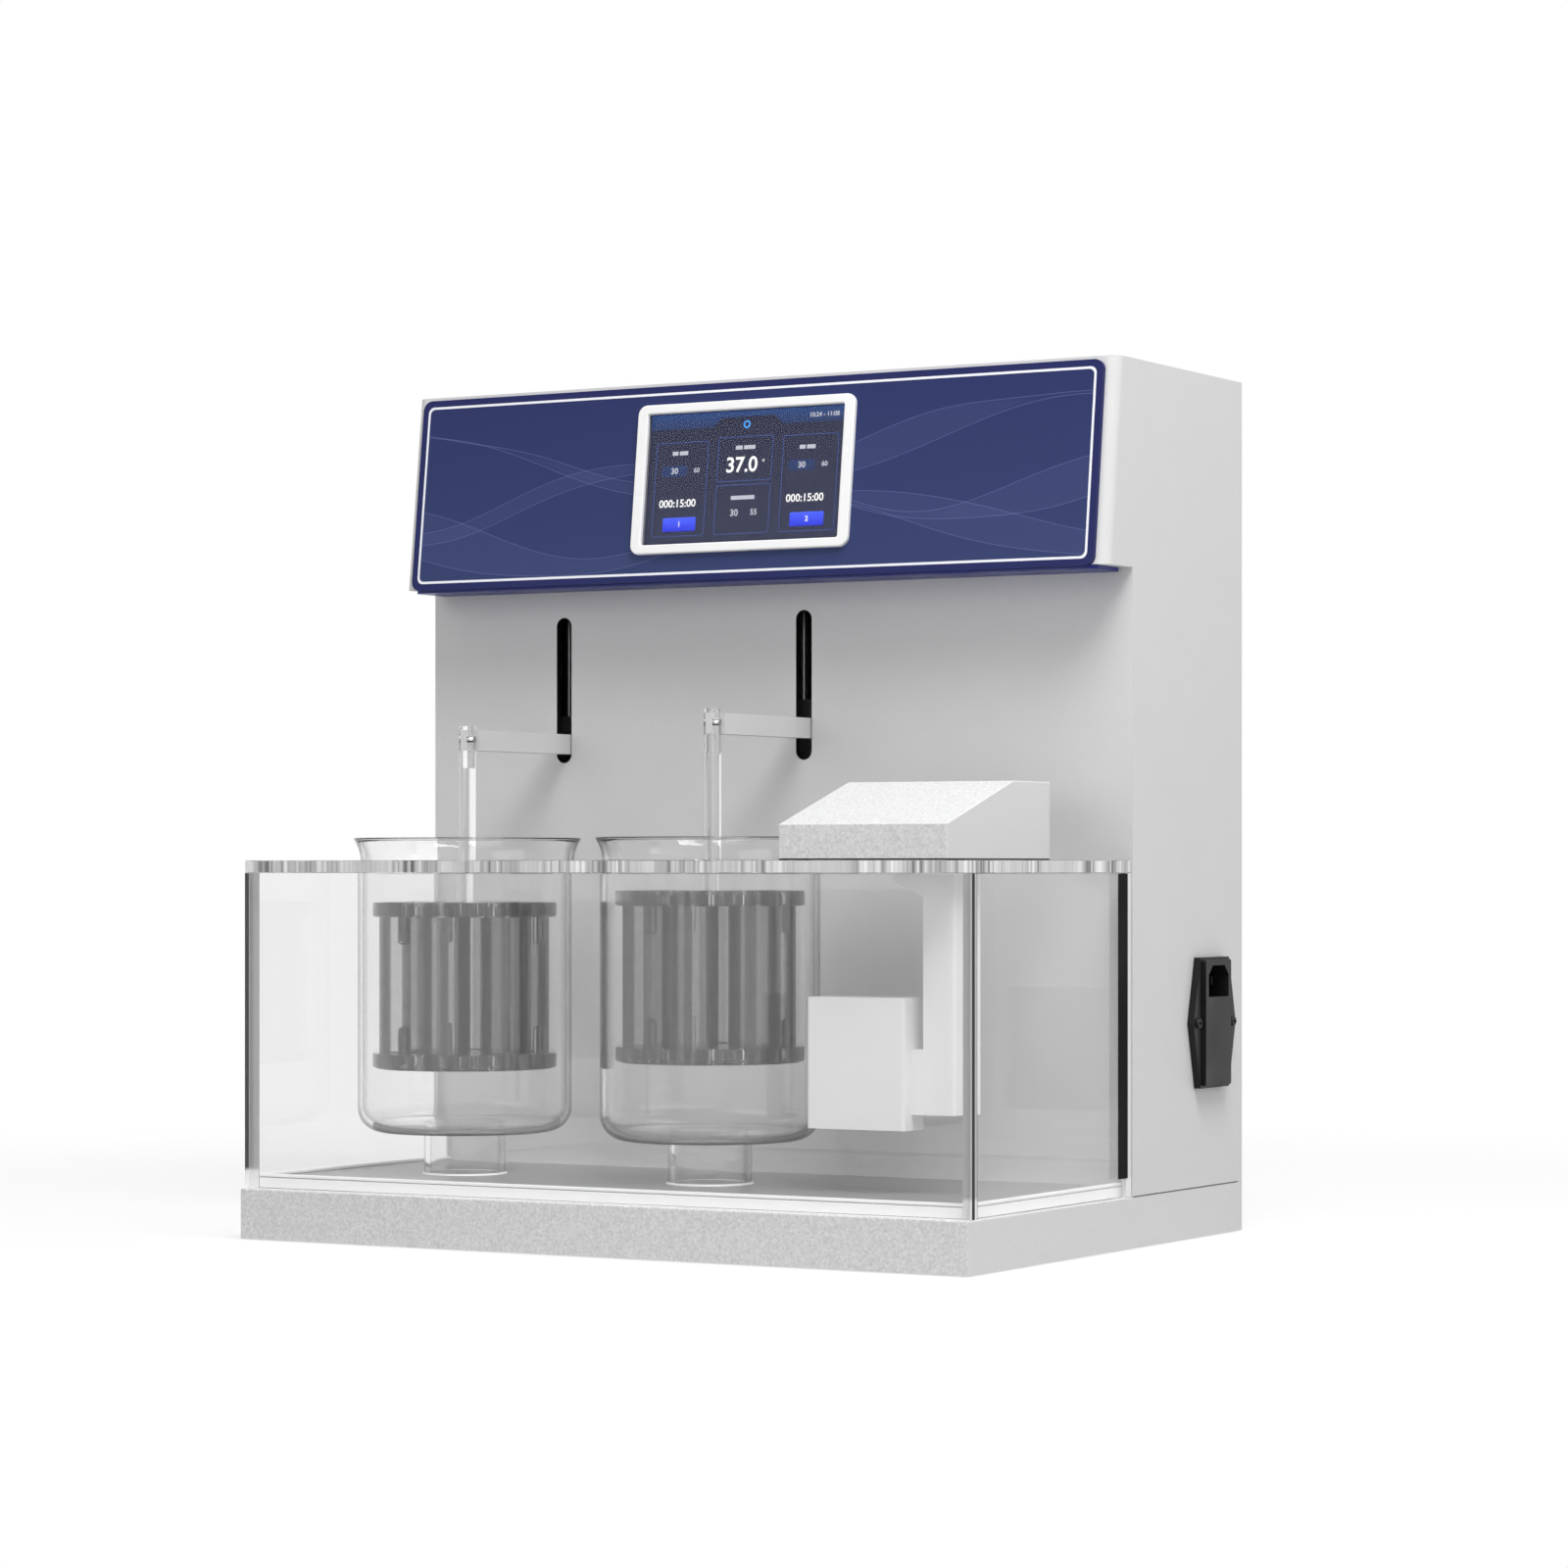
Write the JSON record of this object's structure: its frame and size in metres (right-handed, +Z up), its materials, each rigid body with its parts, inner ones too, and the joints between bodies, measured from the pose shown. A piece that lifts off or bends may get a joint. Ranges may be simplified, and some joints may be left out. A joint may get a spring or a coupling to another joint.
{
  "type": "tablet disintegration tester",
  "caption": "Bench tester that dips tube baskets of tablets up and down in beakers standing in a clear warmed bath, under a leaning control panel with a display.",
  "frame": {"origin": "on the bench under the middle of the base, at the bottom of the rubber feet", "axes": "+X to the operator's right, +Y to the back of the instrument, +Z up"},
  "size_m": [0.4056, 0.2948, 0.422],
  "materials": {
    "housing_grey": "fine-textured moulded ABS",
    "base_white": "smooth moulded ABS",
    "cover_grey": "powder-coated sheet steel",
    "black_rubber": "matt",
    "screw_steel": "nickel-plated",
    "fascia_blue": "satin film on moulded plastic",
    "bezel_white": "gloss",
    "display_cover": "polished",
    "display_dark": "backlit liquid crystal",
    "board_green": "solder resist",
    "case_aluminium": "satin",
    "inlet_black": "fine matt",
    "contact_brass": "bare",
    "rocker_black": "gloss",
    "acrylic": "polished clear acrylic",
    "lab_glass": "borosilicate",
    "basket_plastic": "clear smoky moulding",
    "wire_cloth": "woven stainless wire",
    "steel": "ground stainless",
    "arm_grey": "satin paint",
    "carriage_aluminium": "milled",
    "frame_black": "satin black",
    "bronze": "machined",
    "circulator_white": "satin moulding",
    "heater_steel": "drawn tube",
    "impeller_white": "moulded nylon"
  },
  "bodies": {
    "case": {"base_shell": "base_white", "base_plate": "cover_grey", "rubber_feet": "black_rubber", "case_screws": "screw_steel", "housing_shell": "housing_grey", "rear_cover": "cover_grey", "fascia_panel": "fascia_blue", "fascia_underplate": "fascia_blue", "display_bezel": "bezel_white", "display_glass": "display_cover", "display_module": "display_dark", "control_board": "board_green", "power_supply": "case_aluminium", "inlet_body": "inlet_black", "inlet_pins": "contact_brass", "inlet_screws": "screw_steel", "switch_body": "inlet_black", "tank_floor": "acrylic", "tank_front_pane": "acrylic", "tank_back_pane": "acrylic", "tank_side_panes": "acrylic", "beaker_rings": "acrylic", "drive_frames": "frame_black", "drive_motors": "frame_black", "guide_rods": "steel", "screw_bearings": "bronze"},
    "left_lift": {"left_carriage": "carriage_aluminium", "left_bushes": "bronze", "left_lead_nut": "bronze", "left_arm": "arm_grey"},
    "left_basket": {"left_hanging_rod": "basket_plastic", "left_hook_pin": "steel", "left_upper_plate": "basket_plastic", "left_lower_plate": "basket_plastic", "left_glass_tubes": "lab_glass", "left_mesh_screen": "wire_cloth"},
    "left_screw": {"left_lead_screw": "steel"},
    "left_cup": {"left_beaker": "lab_glass"},
    "right_lift": {"right_carriage": "carriage_aluminium", "right_bushes": "bronze", "right_lead_nut": "bronze", "right_arm": "arm_grey"},
    "right_basket": {"right_hanging_rod": "basket_plastic", "right_hook_pin": "steel", "right_upper_plate": "basket_plastic", "right_lower_plate": "basket_plastic", "right_glass_tubes": "lab_glass", "right_mesh_screen": "wire_cloth"},
    "right_screw": {"right_lead_screw": "steel"},
    "right_cup": {"right_beaker": "lab_glass"},
    "lid": {"lid_plate": "acrylic"},
    "circulator": {"circulator_head": "circulator_white", "circulator_gasket": "black_rubber", "immersion_column": "circulator_white", "heater_rod": "heater_steel", "pump_block": "circulator_white", "pump_grille": "circulator_white", "pump_motor": "case_aluminium"},
    "impeller": {"pump_impeller": "impeller_white"},
    "rocker": {"power_rocker": "rocker_black"}
  },
  "joints": [
    {"name": "left_drive", "type": "slide", "parent": "case", "child": "left_lift", "axis": [0, 0, 1], "range_m": [0, 0.055]},
    {"name": "left_screw_turn", "type": "hinge", "parent": "case", "child": "left_screw", "pos_m": [-0.1204, 0.062, 0.236], "axis": [0, 0, 1], "range_deg": [-5, 2480]},
    {"name": "left_basket_unhook", "type": "slide", "parent": "left_lift", "child": "left_basket", "axis": [0, 0, 1], "range_m": [0, 0.008]},
    {"name": "right_drive", "type": "slide", "parent": "case", "child": "right_lift", "axis": [0, 0, 1], "range_m": [-0.0061, 0.0489]},
    {"name": "right_screw_turn", "type": "hinge", "parent": "case", "child": "right_screw", "pos_m": [0.0205, 0.062, 0.236], "axis": [0, 0, 1], "range_deg": [-280, 2206]},
    {"name": "right_basket_unhook", "type": "slide", "parent": "right_lift", "child": "right_basket", "axis": [0, 0, 1], "range_m": [0, 0.008]},
    {"name": "lid_lift", "type": "slide", "parent": "case", "child": "lid", "axis": [0, 0, 1], "range_m": [0, 0.025]},
    {"name": "left_beaker_lift", "type": "slide", "parent": "lid", "child": "left_cup", "axis": [0, 0, 1], "range_m": [0, 0.025]},
    {"name": "right_beaker_lift", "type": "slide", "parent": "lid", "child": "right_cup", "axis": [0, 0, 1], "range_m": [0, 0.025]},
    {"name": "circulator_lift", "type": "slide", "parent": "lid", "child": "circulator", "axis": [0, 0, 1], "range_m": [0, 0.126]},
    {"name": "impeller_spin", "type": "hinge", "parent": "circulator", "child": "impeller", "pos_m": [0.11275, -0.0804, 0.078], "axis": [0, 0, 1], "continuous": true},
    {"name": "power_rocker_tip", "type": "hinge", "parent": "case", "child": "rocker", "pos_m": [-0.15, 0.145, 0.062], "axis": [-1, 0, 0], "range_deg": [0, 16]}
  ],
  "couplings": [
    {"joint": "left_screw_turn", "follows": "left_drive", "rad_per_m": 785.4},
    {"joint": "right_screw_turn", "follows": "right_drive", "rad_per_m": 785.4}
  ]
}
